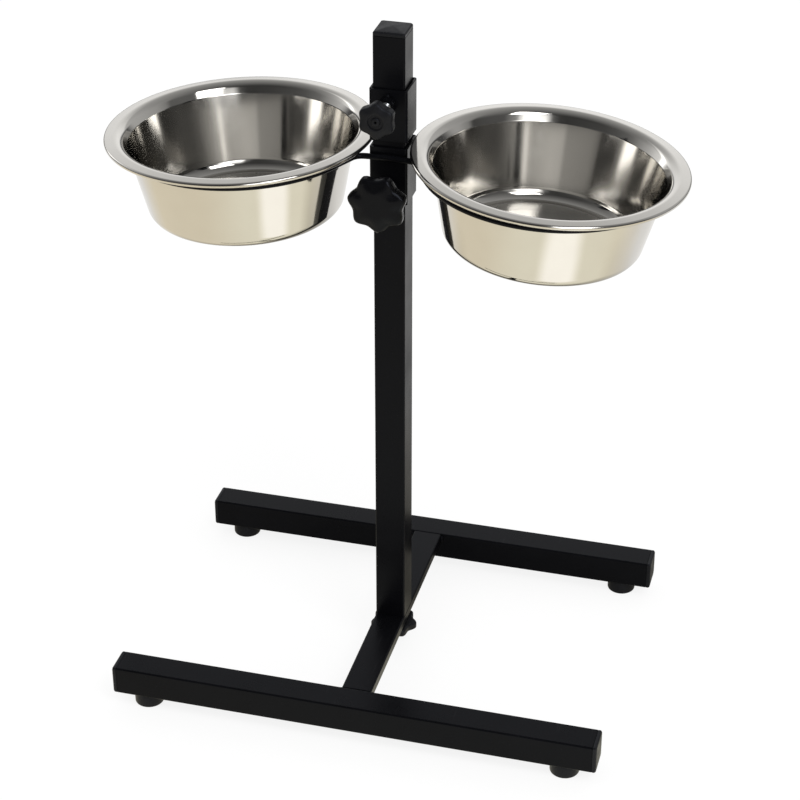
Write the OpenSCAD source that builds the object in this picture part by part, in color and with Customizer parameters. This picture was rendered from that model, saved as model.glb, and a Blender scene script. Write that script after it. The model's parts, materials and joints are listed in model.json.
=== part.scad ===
// Height-adjustable feeder stand: an H-shaped base of square tube, one square post,
// two clamping collars on the post, a wire frame with two rings, and two loose bowls.
// Millimetres. X runs along the base bars, Y to the back, Z up.
// The origin lies on the floor under the post.

/* [Base] */
// Side of the square tube of the bars and the post
tube = 27; // [20:1:32]
// Wall of the square tubes
tube_wall = 1.5; // [1:0.1:2]
// Outside corner radius of the square tubes
tube_corner = 1.6; // [1:0.1:2.4]
// Length of each base bar over its end caps
bar_length = 441; // [360:1:560]
// Distance between the centre lines of the two bars
bar_spacing = 281; // [220:1:400]
// Height of the flat tube that joins the bars
cross_height = 10; // [8:0.5:13]
// Size of the weld beads between the flat tube and the bars
bead_r = 2.4; // [1.5:0.1:4]
// Height of the feet under the bars
foot_height = 12; // [10:0.5:20]
// Diameter of the feet
foot_d = 26; // [18:0.5:34]
// Radius of the foot's lower edge
foot_edge = 1.5; // [0.5:0.1:3]
// How much narrower the foot is at its top, on the radius
foot_taper = 0.8; // [0:0.1:2]
// Diameter of the stem that holds a foot in its bar
foot_stem_d = 8; // [5:0.5:12]
// Length of the stem inside the bar
foot_stem = 6; // [3:0.5:12]
// Distance from a bar's end to the middle of its foot
foot_inset = 30.5; // [24:0.5:60]

/* [Post] */
// Length of the post tube above the base
post_length = 564; // [470:1:700]
// Thickness of the flange of the end caps
cap_flange = 2.6; // [1.5:0.1:4]
// Bevel round the top of the end caps
cap_bevel = 1; // [0.5:0.1:1.5]
// Rise of the low pyramid on the end caps
cap_crown = 1.4; // [0.8:0.1:3]
// Depth of the cap's plug inside its tube
cap_plug = 12; // [8:1:18]
// Thickness of the threaded plate in the foot of the post
post_plate = 9; // [6:0.5:14]

/* [Collars] */
// Wall of the square collars
collar_wall = 2; // [1.5:0.1:3]
// Free space between a collar and the post on each side
collar_gap = 0.5; // [0.3:0.05:0.8]
// Outside corner radius of the collars
collar_corner = 2.2; // [1.5:0.1:3]
// Distance from the top of the post tube down to the upper collar
collar_below = 44; // [10:0.5:80]
// Length of the upper collar
upper_collar_length = 45; // [42:0.5:60]
// Space between the two collars
collar_space = 5.5; // [2:0.5:12]
// Length of the lower collar
lower_collar_length = 50; // [42:0.5:70]

/* [Clamps] */
// Diameter of the clamping studs
stud_d = 8; // [6:0.5:10]
// Width of the weld nuts across their flats
nut_flats = 13; // [12:0.5:16]
// Height of the weld nuts
nut_height = 6.5; // [5:0.5:8]
// Radius of the drops of weld that hold a nut
tack_r = 2.2; // [1.5:0.1:3]
// Height of the lower clamp's axis above the bottom of its collar
lower_axis = 15.5; // [12:0.5:22]
// Height of the upper clamp's axis above the bottom of its collar
upper_axis = 33; // [20:0.5:34]
// Distance from the collar's face to the front of the lower knob
lower_reach = 41; // [34:0.5:55]
// Distance from the collar's face to the front of the upper knob
upper_reach = 39; // [32:0.5:55]
// Depth of a clamping stud inside its knob
stud_in_knob = 9; // [6:0.5:10]
// Length of the base stud above the threaded plate
stud_past_plate = 3; // [0.5:0.5:8]

/* [Lower knob] */
// Diameter over the lobes
lower_knob_d = 50; // [36:0.5:60]
// Thickness of the star
lower_knob_t = 13; // [9:0.5:16]
// Number of lobes
lower_lobes = 7; // [5:1:9]
// Depth of the hollow between two lobes
lower_hollow = 3.6; // [2:0.1:5]
// Radius of the hollow between two lobes
lower_hollow_r = 8; // [5:0.1:10]
// Angle of one lobe from level, seen from the front
lower_turn = 16.7; // [0:0.1:60]
// Diameter of the hub behind the star
lower_hub_d = 24; // [14:0.5:30]
// Length of the hub behind the star
lower_hub = 8; // [3:0.5:12]

/* [Upper knob] */
// Diameter over the lobes
upper_knob_d = 31; // [24:0.5:38]
// Thickness of the star
upper_knob_t = 11; // [8:0.5:14]
// Number of lobes
upper_lobes = 6; // [5:1:8]
// Depth of the hollow between two lobes
upper_hollow = 2.2; // [1:0.1:3]
// Radius of the hollow between two lobes
upper_hollow_r = 5.8; // [3:0.1:7]
// Angle of one lobe from level, seen from the front
upper_turn = 30; // [0:0.1:60]
// Diameter of the hub behind the star
upper_hub_d = 15; // [12:0.5:20]
// Length of the hub behind the star
upper_hub = 5; // [3:0.5:10]
// Outside diameter of the ring-shaped recess in the front
recess_d = 13; // [10:0.5:16]
// Diameter of the raised middle of that recess
boss_d = 6.8; // [4:0.1:8]
// Depth of the recess
recess_depth = 1.6; // [0.5:0.1:2.4]
// Diameter of the small hole in the raised middle
pin_hole_d = 2; // [1:0.1:3]
// Depth of the small hole
pin_hole_depth = 4; // [2:0.5:5]

/* [Base knob] */
// Diameter over the lobes
base_knob_d = 45; // [36:0.5:54]
// Thickness of the star
base_knob_t = 8.5; // [6:0.5:10]
// Number of lobes
base_lobes = 7; // [5:1:9]
// Depth of the hollow between two lobes
base_hollow = 3.6; // [2:0.1:5]
// Radius of the hollow between two lobes
base_hollow_r = 7.3; // [5:0.1:9]
// Angle of one lobe from the X axis, seen from below
base_turn = 12; // [0:0.1:60]
// Diameter of the hub below the star, where it meets the star
base_hub_d = 20; // [14:0.5:26]
// Diameter of that hub at its free end
base_hub_end_d = 16; // [12:0.5:20]
// Height of the hub below the star
base_hub = 6; // [3:0.5:8]

/* [All knobs] */
// Bevel round the edges of the stars
knob_edge = 2.2; // [1:0.1:2.6]
// Rise of the domed front of the stars
knob_dome = 1.2; // [0.4:0.1:2]

/* [Rings] */
// Diameter of the frame's wire
wire_d = 5; // [4:0.1:6]
// Height of the frame's waist below the top of the lower collar
waist_below = 7.2; // [6:0.1:12]
// Length of the straight waist past the collar's side
waist_past = 3; // [2:0.5:6]
// Radius of the bend between the waist and the rings
waist_bend = 10; // [6:0.5:12]
// Space between the ends of the two rings' wires
wire_ends = 0.6; // [0.2:0.1:4]
// Droop of the left ring below level, in degrees
left_droop = 2.4; // [0:0.1:6]
// Droop of the right ring below level, in degrees
right_droop = 4.5; // [0:0.1:6]
// How far the left ring's arms lift its plane above the waist
left_rise = 0.8; // [0:0.1:6]
// How far the right ring's arms lift its plane above the waist
right_rise = 5.2; // [0:0.1:6]
// Free space between a bowl's wall and a ring round it, when both share one axis
ring_play = 3; // [1:0.1:4]
// Space between a bowl's rim and the collar
rim_space = 0.8; // [0.6:0.1:12]

/* [Bowls] */
// Thickness of the bowls' sheet
sheet = 0.8; // [0.5:0.1:1.2]
// Inside radius of the short wall under the rim
mouth_r = 102; // [84:0.5:125]
// Width of the rim outside that wall
rim_width = 12.4; // [9:0.1:16]
// Radius of the rolled edge of the rim
rim_roll = 2; // [1.4:0.1:2.5]
// Depth of the step below the rim that rests on the ring
step_depth = 7.2; // [6:0.1:12]
// Width of the step
step_width = 7; // [6:0.1:10]
// Depth of the bowls below the rim
bowl_depth = 75; // [55:1:90]
// Lean of the wall from upright, in degrees
wall_lean = 12; // [4:0.5:18]
// Outside radius of the corner between wall and bottom
corner_r = 16; // [8:0.5:22]
// Width of the flat band round the raised disc in the bottom
bottom_band = 10.3; // [4:0.1:20]
// Rise of the disc in the bottom
disc_rise = 1.2; // [0.6:0.1:2]

/* [Fits] */
// Radial clearance of a stud that turns in its nut
run_gap = 0.05; // [0.02:0.01:0.1]
// Clearance of pieces that are pushed together and stay so
push_gap = 0.02; // [0.01:0.01:0.05]
// Space left between a moving piece and the face that it bears on
seat_gap = 0.3; // [0.2:0.05:0.4]
// Clearance round a stud where it only passes through
pass_gap = 0.6; // [0.3:0.1:1]

/* [Hidden] */
$fn = 48;

black_paint = "#222224";
black_plastic = "#2b2b2d";
zinc = "#c9cbcf";
stainless = "#d7d6d2";

// Cutting shapes reach this far past what they cut
past = 1;

tube_inside = tube - 2 * tube_wall;
bar_z = foot_height + tube / 2;
base_top = foot_height + tube;
cap_height = cap_flange + cap_bevel + cap_crown;
bar_tube_length = bar_length - 2 * cap_height;
bar_y = bar_spacing / 2;
cross_length = bar_spacing - tube;
foot_x = bar_length / 2 - foot_inset;
foot_stem_r = foot_stem_d / 2;
post_top = base_top + post_length;

collar_inside = tube + 2 * collar_gap;
collar = collar_inside + 2 * collar_wall;
collar_face = collar / 2;
upper_collar_z = post_top - collar_below - upper_collar_length;
lower_collar_z = upper_collar_z - collar_space - lower_collar_length;

stud_r = stud_d / 2;
nut_r = nut_flats / (2 * cos(30));
lower_clamp_z = lower_collar_z + lower_axis;
upper_clamp_z = upper_collar_z + upper_axis;
lower_knob_back = lower_reach - lower_knob_t - lower_hub;
upper_knob_back = upper_reach - upper_knob_t - upper_hub;

// The base knob's star lies under the cross bar, and its stud reaches up into the post
base_knob_top = base_top - cross_height - seat_gap;
base_stud_low = base_knob_top - base_knob_t;
base_stud_top = base_top + post_plate + stud_past_plate;

// The bowl's step rests on the ring's wire; the bowl has slid outwards by its play in the ring
rim_r = mouth_r + rim_width;
wall_r = mouth_r + sheet - step_width;
base_r = wall_r - (bowl_depth - step_depth) * tan(wall_lean);
wire_r = wire_d / 2;
ring_r = wall_r + wire_r + ring_play;
bowl_offset = collar_face + rim_space + rim_r;
ring_offset = bowl_offset - ring_play + seat_gap;
rim_above_wire = step_depth + wire_r + seat_gap;

waist_z = lower_collar_z + lower_collar_length - waist_below;
waist_y = collar_face + wire_r + push_gap;
waist_half = collar_face + waist_past;
weld_r = 0.75 * wire_r;
weld_drop = 0.8 * wire_r;
weld_start = wire_ends / 2 + past;
weld_length = collar_face - collar_corner - weld_start;

// Heading of the straight run that touches both the waist's bend and the ring
bend_to_ring = [ring_offset - waist_half, waist_y + waist_bend];
run_angle = atan2(bend_to_ring[1], bend_to_ring[0]) - asin((ring_r + waist_bend) / norm(bend_to_ring));
run_end = ring_offset + ring_r * sin(run_angle);

// Sides of the rings' wire, and steps along its bends, its straight runs and its rings
wire_sides = 12;
bend_steps = 6;
run_steps = 4;
ring_steps = 60;

// Small radii in the bowl's section: under the step, over it, and under the rim
step_fillet = 1.5;
neck_corner = 1.8;
flange_fillet = 0.8;

function droop(side) = side < 0 ? left_droop : right_droop;
function rise(side) = side < 0 ? left_rise : right_rise;
function arc(centre, r, from, to, steps) =
  [for (i = [0:steps]) let (a = from + (to - from) * i / steps) centre + r * [cos(a), sin(a)]];

// Shapes that several pieces share

module rounded_square(size, r) {
  square([size[0], size[1] - 2 * r], center = true);
  square([size[0] - 2 * r, size[1]], center = true);
  for (x = [-1, 1], y = [-1, 1])
    translate([x * (size[0] / 2 - r), y * (size[1] / 2 - r)]) circle(r);
}

module tube_section(size, wall, r) {
  difference() {
    rounded_square(size, r);
    square([size[0] - 2 * wall, size[1] - 2 * wall], center = true);
  }
}

module along_x() {
  rotate([90, 0, 90]) children();
}

module along_y() {
  rotate([90, 0, 0]) children();
}

// Cap for the end of a square tube, with its flange's underside at z = 0
module tube_cap() {
  half = tube / 2;
  bevelled = half - cap_bevel;
  side = [
    [-half, 0], [half, 0], [half, cap_flange], [bevelled, cap_flange + cap_bevel],
    [0, cap_height], [-bevelled, cap_flange + cap_bevel], [-half, cap_flange]
  ];
  intersection() {
    along_x() linear_extrude(tube, center = true) polygon(side);
    along_y() linear_extrude(tube, center = true) polygon(side);
    linear_extrude(cap_height) rounded_square([tube, tube], tube_corner);
  }
  plug = tube_inside - 2 * push_gap;
  translate([0, 0, -cap_plug / 2]) cube([plug, plug, cap_plug], center = true);
}

// Bar along X with a hole for the stem of each foot
module base_bar() {
  difference() {
    along_x() linear_extrude(bar_tube_length, center = true)
      tube_section([tube, tube], tube_wall, tube_corner);
    for (side = [-1, 1])
      translate([side * foot_x, 0, -tube / 2 - past])
        cylinder(r = foot_stem_r, h = tube_wall + 2 * past);
  }
}

// Round glide with a stem that is pushed into the bar above it
module foot() {
  r = foot_d / 2;
  stem_r = foot_stem_r - push_gap;
  stem_top = foot_height + tube_wall + foot_stem;
  rotate_extrude() polygon(concat(
    [[0, 0]],
    arc([r - foot_edge, foot_edge], foot_edge, -90, 0, 6),
    [[r, foot_height / 2], [r - foot_taper, foot_height], [stem_r, foot_height]],
    [[stem_r, stem_top], [0, stem_top]]
  ));
}

module hexagon(h) {
  rotate([0, 0, 30]) cylinder(r = nut_r, h = h, $fn = 6);
}

// Weld nut that stands on a collar's face at z = 0
module weld_nut() {
  difference() {
    hexagon(nut_height);
    translate([0, 0, -past]) cylinder(r = stud_r + run_gap, h = nut_height + 2 * past);
  }
}

// Drops of weld above and below a nut, cut to lie on the nut and the collar's face
module nut_tacks() {
  reach = nut_flats + 2 * tack_r;
  for (up = [-1, 1])
    difference() {
      translate([0, up * (nut_flats + tack_r / 2) / 2, tack_r / 6]) sphere(tack_r);
      translate([0, 0, -tack_r]) cube([2 * reach, 2 * reach, 2 * tack_r], center = true);
      hexagon(nut_height);
    }
}

// Outline of a star with round hollows between its lobes
module star(d, lobes, hollow, hollow_r, turn) {
  difference() {
    circle(d = d);
    for (i = [0:lobes - 1])
      rotate(turn + (i + 0.5) * 360 / lobes)
        translate([d / 2 + hollow_r - hollow, 0]) circle(hollow_r);
  }
}

// Star with bevelled edges and a domed front, its back at z = 0
module knob_star(d, thick, lobes, hollow, hollow_r, turn) {
  r = d / 2;
  intersection() {
    linear_extrude(thick) star(d, lobes, hollow, hollow_r, turn);
    rotate_extrude() polygon([
      [0, 0], [r - knob_edge, 0], [r, knob_edge], [r, thick - knob_edge - knob_dome],
      [r - knob_edge, thick - knob_dome], [0, thick]
    ]);
  }
}

// Collar of square tube with a hole in its front wall for the clamping stud
module clamp_collar(length, axis) {
  difference() {
    linear_extrude(length) difference() {
      rounded_square([collar, collar], collar_corner);
      square(collar_inside, center = true);
    }
    translate([0, 0, axis]) along_y() cylinder(r = stud_r + pass_gap, h = collar);
  }
}

// Everything on a clamp's axis is placed from the collar's front face outwards
module on_clamp(height) {
  translate([0, -collar_face, height]) along_y() children();
}

// Blind hole for a stud, from the back of a knob's hub
module stud_hole() {
  translate([0, 0, -past]) cylinder(r = stud_r + push_gap, h = stud_in_knob + past);
}

// Clamping stud from its tip at the post to the bottom of the knob's hole
module clamp_stud(knob_back) {
  tip = tube / 2 + seat_gap - collar_face;
  end = knob_back + stud_in_knob - push_gap;
  translate([0, 0, tip]) cylinder(r = stud_r, h = end - tip);
}

// A ring's own plane: x outwards from the post, y to the back, drooping by its angle
module on_ring(side) {
  translate([0, 0, waist_z]) rotate([0, side * droop(side), 0])
    mirror([side < 0 ? 1 : 0, 0, 0]) children();
}

// Stations along a ring's wire, each a point in the ring's plane and a heading: half of
// the waist and its bend, the run, the ring's arc, and the same way back
function run_stations() = let (
  from = [waist_half - waist_bend * sin(run_angle), -waist_y - waist_bend * (1 - cos(run_angle))],
  to = [run_end, -ring_r * cos(run_angle)]
) [for (i = [1:run_steps - 1]) [from + (to - from) * i / run_steps, run_angle]];
function arm_stations() = let (centre = [waist_half, -waist_y - waist_bend]) concat(
  [[[0, -waist_y], 0]],
  [for (i = [0:bend_steps]) let (h = run_angle * i / bend_steps)
    [centre + waist_bend * [-sin(h), cos(h)], h]],
  run_stations()
);
function ring_stations() =
  [for (i = [0:ring_steps]) let (h = run_angle + (180 - 2 * run_angle) * i / ring_steps)
    [[ring_offset, 0] + ring_r * [sin(h), -cos(h)], h]];
function wire_stations() = let (arm = arm_stations(), last = len(arm) - 1) concat(
  arm,
  ring_stations(),
  [for (i = [last:-1:0]) [[arm[i][0][0], -arm[i][0][1]], 180 - arm[i][1]]]
);

// Height of the wire above the waist's plane: the arms climb from the waist to the ring
function lift(x, side) = let (way = min(1, max(0, (x - waist_half) / (run_end - waist_half))))
  rise(side) * way * way * (3 - 2 * way);

// One point of the wire's skin; the two ends are cut upright, beside the middle of the collar
function wire_point(station, turn, is_end, side) = let (
  across = wire_r * cos(turn),
  up = wire_r * sin(turn) + lift(station[0][0], side),
  x = is_end ? (wire_ends / 2 - up * sin(droop(side))) / cos(droop(side))
    : station[0][0] - across * sin(station[1])
) [x, station[0][1] + across * cos(station[1]), up];

// One bent wire: two arms from the collar's faces, and the arc that joins them
module ring(side) {
  stations = wire_stations();
  last = len(stations) - 1;
  points = [for (i = [0:last], j = [0:wire_sides - 1])
    wire_point(stations[i], j * 360 / wire_sides, i == 0 || i == last, side)];
  skin = [for (i = [0:last - 1], j = [0:wire_sides - 1]) let (
    a = i * wire_sides + j,
    b = i * wire_sides + (j + 1) % wire_sides
  ) each [[a, b, b + wire_sides], [a, b + wire_sides, a + wire_sides]]];
  start_cap = [for (j = [wire_sides - 1:-1:0]) j];
  end_cap = [for (j = [0:wire_sides - 1]) last * wire_sides + j];
  on_ring(side) polyhedron(points, concat(skin, [start_cap, end_cap]));
}

// Fillet of weld under the waist's wire, against the collar's face
module waist_weld() {
  difference() {
    translate([weld_start, -collar_face - weld_r / 2, -weld_drop])
      rotate([0, 90, 0]) cylinder(r = weld_r, h = weld_length);
    translate([0, -waist_y, 0]) rotate([0, 90, 0]) cylinder(r = wire_r + push_gap, h = collar);
    cube([2 * collar, collar, 4 * wire_d], center = true);
  }
}

// Bowl with its rim's top at z = 0
module bowl() {
  slope = tan(wall_lean);
  s = sin(wall_lean);
  c = cos(wall_lean);
  corner = [base_r + corner_r * (1 - s) * slope - corner_r * c, corner_r - bowl_depth];
  fillet_z = -step_depth - step_fillet;
  fillet = [base_r + (fillet_z + step_fillet * s + bowl_depth) * slope + step_fillet * c, fillet_z];
  neck = [mouth_r + sheet - neck_corner, neck_corner - step_depth];
  lip = [mouth_r + sheet + flange_fillet, -sheet - flange_fillet];
  roll = [rim_r - rim_roll, -rim_roll];
  roll_start = 180 - asin(1 - sheet / rim_roll);
  floor_out = -bowl_depth;
  floor_in = sheet - bowl_depth;
  disc_foot = corner[0] - bottom_band;
  disc_edge = disc_foot - disc_rise;
  outside = concat(
    [[0, floor_out + disc_rise], [disc_edge, floor_out + disc_rise], [disc_foot, floor_out]],
    arc(corner, corner_r, -90, -wall_lean, 10),
    arc(fillet, step_fillet, 180 - wall_lean, 90, 4),
    arc(neck, neck_corner, -90, 0, 5),
    arc(lip, flange_fillet, 180, 90, 4),
    arc(roll, rim_roll, roll_start, 450, 14)
  );
  inside = concat(
    arc(lip, flange_fillet + sheet, 90, 180, 5),
    arc(neck, neck_corner - sheet, 0, -90, 4),
    arc(fillet, step_fillet + sheet, 90, 180 - wall_lean, 5),
    arc(corner, corner_r - sheet, -wall_lean, -90, 10),
    [[disc_foot, floor_in], [disc_edge, floor_in + disc_rise], [0, floor_in + disc_rise]]
  );
  rotate_extrude($fn = 96) polygon(concat(outside, inside));
}

module bowl_in_ring(side) {
  on_ring(side) translate([bowl_offset, 0, rise(side) + rim_above_wire]) bowl();
}

// Base

module front_bar() {
  color(black_paint) translate([0, -bar_y, bar_z]) base_bar();
}

module back_bar() {
  color(black_paint) translate([0, bar_y, bar_z]) base_bar();
}

module cross_bar() {
  color(black_paint) difference() {
    translate([0, 0, base_top - cross_height / 2]) along_y()
      linear_extrude(cross_length, center = true)
        tube_section([tube, cross_height], tube_wall, tube_corner);
    cylinder(r = stud_r + pass_gap, h = base_top + past);
  }
}

// Upright beads in the four corners between the cross bar and the bars
module base_welds() {
  height = cross_height - 2 * tube_corner;
  color(black_paint)
    for (x = [-1, 1], y = [-1, 1])
      translate([x * tube / 2, y * cross_length / 2, base_top - cross_height + tube_corner])
        intersection() {
          cylinder(r = bead_r, h = height);
          translate([x > 0 ? 0 : -bead_r, y > 0 ? -bead_r : 0, 0]) cube([bead_r, bead_r, height]);
        }
}

module bar_cap(x, y) {
  color(black_plastic)
    translate([x * bar_tube_length / 2, y * bar_y, bar_z]) rotate([0, x * 90, 0]) tube_cap();
}

module bar_foot(x, y) {
  color(black_plastic) translate([x * foot_x, y * bar_y, 0]) foot();
}

// Post

module post_tube() {
  color(black_paint) translate([0, 0, base_top])
    linear_extrude(post_length) tube_section([tube, tube], tube_wall, tube_corner);
}

module post_cap() {
  color(black_plastic) translate([0, 0, post_top]) tube_cap();
}

// Threaded plate that is fixed in the foot of the post
module post_plate_nut() {
  side = tube_inside - 2 * push_gap;
  color(zinc) translate([0, 0, base_top]) difference() {
    translate([0, 0, post_plate / 2]) cube([side, side, post_plate], center = true);
    translate([0, 0, -past]) cylinder(r = stud_r + run_gap, h = post_plate + 2 * past);
  }
}

// Knob under the cross bar, with its hub downwards
module base_knob() {
  color(black_plastic) translate([0, 0, base_knob_top]) mirror([0, 0, 1]) difference() {
    union() {
      knob_star(base_knob_d, base_knob_t, base_lobes, base_hollow, base_hollow_r, base_turn);
      translate([0, 0, base_knob_t - knob_dome])
        cylinder(d1 = base_hub_d, d2 = base_hub_end_d, h = base_hub + knob_dome);
    }
    translate([0, 0, -past]) cylinder(r = stud_r + push_gap, h = base_knob_t + past);
  }
}

module base_stud() {
  color(zinc) translate([0, 0, base_stud_low]) cylinder(r = stud_r, h = base_stud_top - base_stud_low);
}

// Lower collar and its clamp

module lower_collar() {
  color(black_paint) translate([0, 0, lower_collar_z]) clamp_collar(lower_collar_length, lower_axis);
}

module lower_nut() {
  color(black_paint) on_clamp(lower_clamp_z) weld_nut();
}

module lower_nut_welds() {
  color(black_paint) on_clamp(lower_clamp_z) nut_tacks();
}

module lower_knob() {
  color(black_plastic) on_clamp(lower_clamp_z) translate([0, 0, lower_knob_back]) difference() {
    union() {
      cylinder(d = lower_hub_d, h = lower_hub + knob_edge);
      translate([0, 0, lower_hub])
        knob_star(lower_knob_d, lower_knob_t, lower_lobes, lower_hollow, lower_hollow_r, lower_turn);
    }
    stud_hole();
  }
}

module lower_stud() {
  color(zinc) on_clamp(lower_clamp_z) clamp_stud(lower_knob_back);
}

// Wire frame

module left_ring() {
  color(black_paint) ring(-1);
}

module right_ring() {
  color(black_paint) ring(1);
}

module ring_welds() {
  color(black_paint)
    for (side = [-1, 1], y = [0, 1])
      on_ring(side) mirror([0, y, 0]) waist_weld();
}

// Upper collar and its clamp

module upper_collar() {
  color(black_paint) translate([0, 0, upper_collar_z]) clamp_collar(upper_collar_length, upper_axis);
}

module upper_nut() {
  color(black_paint) on_clamp(upper_clamp_z) weld_nut();
}

module upper_nut_welds() {
  color(black_paint) on_clamp(upper_clamp_z) nut_tacks();
}

// Small star knob with a ring-shaped recess and a centre hole in its front
module upper_knob() {
  color(black_plastic) on_clamp(upper_clamp_z) translate([0, 0, upper_knob_back]) difference() {
    union() {
      cylinder(d = upper_hub_d, h = upper_hub + knob_edge);
      translate([0, 0, upper_hub])
        knob_star(upper_knob_d, upper_knob_t, upper_lobes, upper_hollow, upper_hollow_r, upper_turn);
    }
    stud_hole();
    translate([0, 0, upper_hub + upper_knob_t]) {
      translate([0, 0, -recess_depth]) difference() {
        cylinder(d = recess_d, h = recess_depth + past);
        cylinder(d = boss_d, h = recess_depth + past);
      }
      translate([0, 0, -pin_hole_depth]) cylinder(d = pin_hole_d, h = pin_hole_depth + past);
    }
  }
}

module upper_stud() {
  color(zinc) on_clamp(upper_clamp_z) clamp_stud(upper_knob_back);
}

// Bowls

module left_bowl() {
  color(stainless) bowl_in_ring(-1);
}

module right_bowl() {
  color(stainless) bowl_in_ring(1);
}

front_bar();
back_bar();
cross_bar();
base_welds();
bar_cap(-1, -1);  // front_left_bar_cap
bar_cap(1, -1);  // front_right_bar_cap
bar_cap(-1, 1);  // back_left_bar_cap
bar_cap(1, 1);  // back_right_bar_cap
bar_foot(-1, -1);  // front_left_foot
bar_foot(1, -1);  // front_right_foot
bar_foot(-1, 1);  // back_left_foot
bar_foot(1, 1);  // back_right_foot
post_tube();
post_cap();
post_plate_nut();
base_knob();
base_stud();
lower_collar();
lower_nut();
lower_nut_welds();
lower_knob();
lower_stud();
left_ring();
right_ring();
ring_welds();
upper_collar();
upper_nut();
upper_nut_welds();
upper_knob();
upper_stud();
left_bowl();
right_bowl();
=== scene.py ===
# %% [markdown]
# # A feeder stand with two bowls
#
# The stand holds two dog bowls at a height that suits the dog. Its base and post are square steel tube
# with a black powder coat. Two collars slide on the post and are clamped by star knobs, the lower one
# carries a frame of bent wire, and the wire holds two loose bowls of polished stainless steel.
#
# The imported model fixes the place, the size and the motion of every piece. This lesson keeps all of that,
# and makes for each piece a mesh and a finish that stand up to a close look.

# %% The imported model
import json
import math

import bmesh
import bpy
from mathutils import Matrix, Vector

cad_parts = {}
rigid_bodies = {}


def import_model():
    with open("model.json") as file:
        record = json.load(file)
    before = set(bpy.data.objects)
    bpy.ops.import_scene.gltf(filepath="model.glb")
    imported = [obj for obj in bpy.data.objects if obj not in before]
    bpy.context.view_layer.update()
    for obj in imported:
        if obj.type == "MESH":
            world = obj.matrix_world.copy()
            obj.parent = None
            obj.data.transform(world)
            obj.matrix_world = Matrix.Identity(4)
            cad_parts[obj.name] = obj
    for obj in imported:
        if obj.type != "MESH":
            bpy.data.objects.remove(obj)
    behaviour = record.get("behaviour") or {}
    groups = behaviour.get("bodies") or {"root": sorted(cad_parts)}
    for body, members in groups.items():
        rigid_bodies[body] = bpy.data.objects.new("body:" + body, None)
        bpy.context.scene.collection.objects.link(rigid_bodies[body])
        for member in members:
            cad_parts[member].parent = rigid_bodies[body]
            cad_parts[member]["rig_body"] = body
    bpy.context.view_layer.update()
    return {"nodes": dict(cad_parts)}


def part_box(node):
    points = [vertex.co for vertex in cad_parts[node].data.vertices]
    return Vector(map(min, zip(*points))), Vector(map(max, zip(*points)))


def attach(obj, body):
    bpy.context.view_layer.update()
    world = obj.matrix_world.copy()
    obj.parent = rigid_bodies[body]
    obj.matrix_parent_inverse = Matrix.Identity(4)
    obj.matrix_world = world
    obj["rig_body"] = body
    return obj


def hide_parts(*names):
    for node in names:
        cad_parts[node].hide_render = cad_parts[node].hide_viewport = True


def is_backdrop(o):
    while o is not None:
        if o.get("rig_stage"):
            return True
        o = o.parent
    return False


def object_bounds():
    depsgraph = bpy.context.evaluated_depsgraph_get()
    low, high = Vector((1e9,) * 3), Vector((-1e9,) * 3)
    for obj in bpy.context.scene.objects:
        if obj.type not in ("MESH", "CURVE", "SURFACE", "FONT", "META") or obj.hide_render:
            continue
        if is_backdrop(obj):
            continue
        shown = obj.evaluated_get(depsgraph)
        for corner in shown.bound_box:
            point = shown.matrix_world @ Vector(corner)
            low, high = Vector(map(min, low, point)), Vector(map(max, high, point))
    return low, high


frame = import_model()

# %% [markdown]
# Sizes below are written in millimetres, as on a workshop drawing, and turned to metres where a mesh or
# a pattern is made. Colours are written as sRGB hex values, the way a colour picker shows them, and one
# function turns them to the linear values that shaders work with.

# %% Millimetres and colours
MM = 0.001


def linear(hex_colour):
    """An sRGB hex colour as the linear red, green, blue and alpha of a shader socket."""
    parts = [int(hex_colour[i:i + 2], 16) / 255 for i in (1, 3, 5)]
    return [p / 12.92 if p <= 0.04045 else ((p + 0.055) / 1.055) ** 2.4 for p in parts] + [1.0]


def per_metre(size):
    """Scale of a pattern whose features are size millimetres across."""
    return 1 / (size * MM)


print("mid grey as a shader takes it:", round(linear("#808080")[0], 3))

# %% [markdown]
# The camera stands where the photographer stood: a little to the right of the stand, and looking down at
# it by about 31 degrees. Place, angles and focal length come from a pinhole camera that was fitted to the
# corners of the base and the post, so upright edges converge as they do in the picture.

# %% Camera
CAMERA_PLACE = (0.4350, -1.6187, 1.2535)
CAMERA_DOWN, CAMERA_TURN = 30.62, 14.85
FOCAL_LENGTH_PX, PICTURE_PX, SENSOR_MM = 2225.3, 800, 36

camera_data = bpy.data.cameras.new("camera")
camera_data.sensor_width = SENSOR_MM
camera_data.lens = FOCAL_LENGTH_PX / PICTURE_PX * SENSOR_MM
camera = bpy.data.objects.new("camera", camera_data)
camera.location = CAMERA_PLACE
camera.rotation_euler = (math.radians(90 - CAMERA_DOWN), 0, math.radians(CAMERA_TURN))
bpy.context.scene.collection.objects.link(camera)
bpy.context.scene.camera = camera
bpy.context.scene.view_settings.view_transform = "Standard"
print("focal length in mm:", round(camera_data.lens, 2))

# %% [markdown]
# Every finish, and the studio too, is a small graph of nodes. One function adds a node with its settings.
# What is constant is set on the node's sockets, and what comes from another node is linked to them.

# %% Adding a node


def connect(tree, node, inputs):
    """Fill a node's inputs: sockets of other nodes are linked, and other values are set."""
    for name, value in inputs.items():
        if isinstance(value, bpy.types.NodeSocket):
            tree.links.new(value, node.inputs[name])
        else:
            node.inputs[name].default_value = value


def add(tree, kind, inputs=None, **settings):
    """A new shader node: settings are its own properties, inputs are values or sockets of other nodes."""
    node = tree.nodes.new("ShaderNode" + kind)
    for name, value in settings.items():
        setattr(node, name, value)
    connect(tree, node, inputs or {})
    return node


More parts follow.
